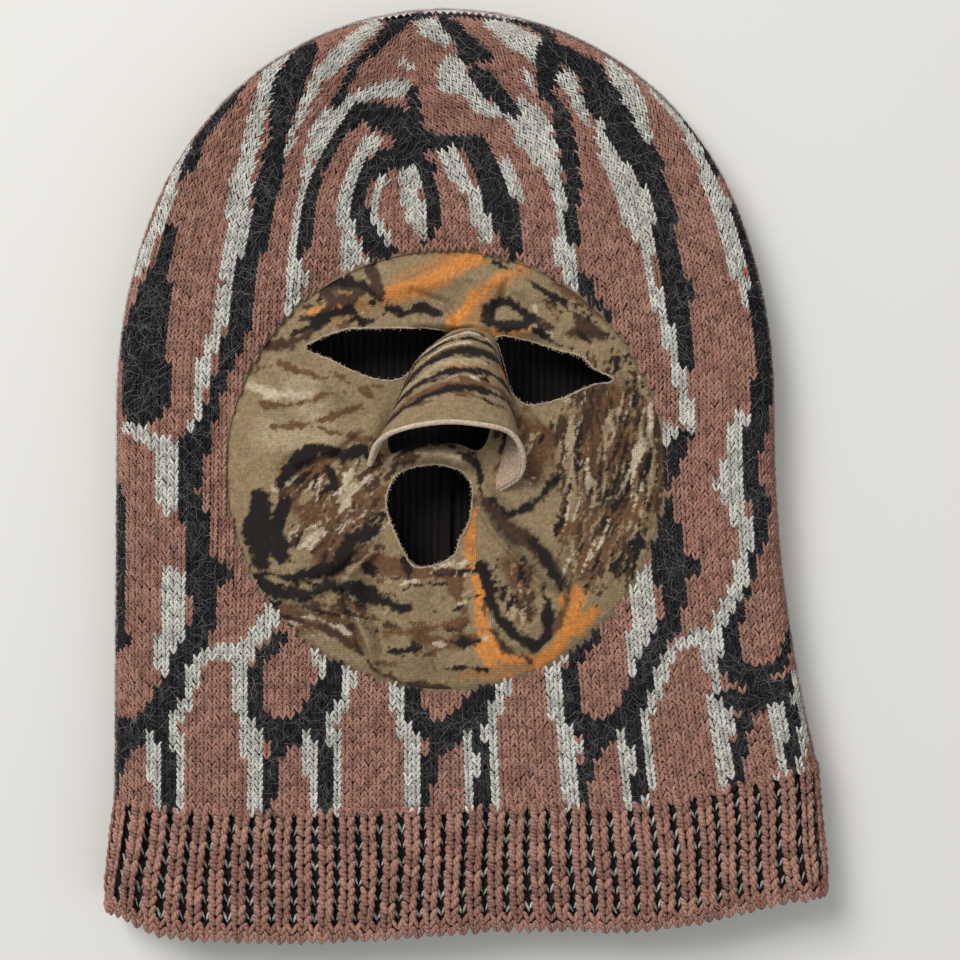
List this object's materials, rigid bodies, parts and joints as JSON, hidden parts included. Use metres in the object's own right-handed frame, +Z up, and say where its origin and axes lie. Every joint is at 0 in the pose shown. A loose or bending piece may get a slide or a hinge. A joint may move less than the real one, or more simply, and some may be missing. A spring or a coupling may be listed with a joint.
{
  "type": "camouflage knit face mask",
  "caption": "Flat-lying knit balaclava with a sewn-in printed cloth face, eye and mouth holes, an open nose pocket and a ribbed neck band.",
  "frame": {"origin": "on the ground, under the middle of the flat mask's overall length and width", "axes": "+Y towards the crown, +Z up out of the face as the mask lies on its back, +X to the viewer's right as they look down at the face with the crown away from them"},
  "size_m": [0.259, 0.329, 0.0429],
  "materials": {
    "jacquard_knit": "brushed acrylic jacquard knit in mauve-brown, grey and black",
    "rib_knit": "brushed acrylic rib knit, mauve-brown with grey and black between the ribs",
    "printed_jersey": "bark and branch camouflage printed on cotton jersey",
    "overlock_thread": "matt black overlock thread",
    "seam_thread": "matt dark brown sewing thread"
  },
  "bodies": {
    "mask": {"hood_knit": "jacquard_knit", "neck_rib": "rib_knit", "crown_seam_front": "overlock_thread", "crown_seam_back": "overlock_thread", "crown_seam_left": "overlock_thread", "crown_seam_right": "overlock_thread", "crown_tack": "overlock_thread", "back_seam": "overlock_thread", "face_panel": "printed_jersey", "face_seam": "overlock_thread", "nose_bridge_stitch": "seam_thread", "nose_seam_left": "seam_thread", "nose_seam_right": "seam_thread", "chin_dart_left": "seam_thread", "chin_dart_right": "seam_thread"},
    "nose": {"nose_cover": "printed_jersey"}
  },
  "joints": [
    {"name": "nose_lift", "type": "hinge", "parent": "mask", "child": "nose", "pos_m": [0.0003, 0.0452, 0.0236], "axis": [-1, 0, 0], "range_deg": [0, 15]}
  ]
}
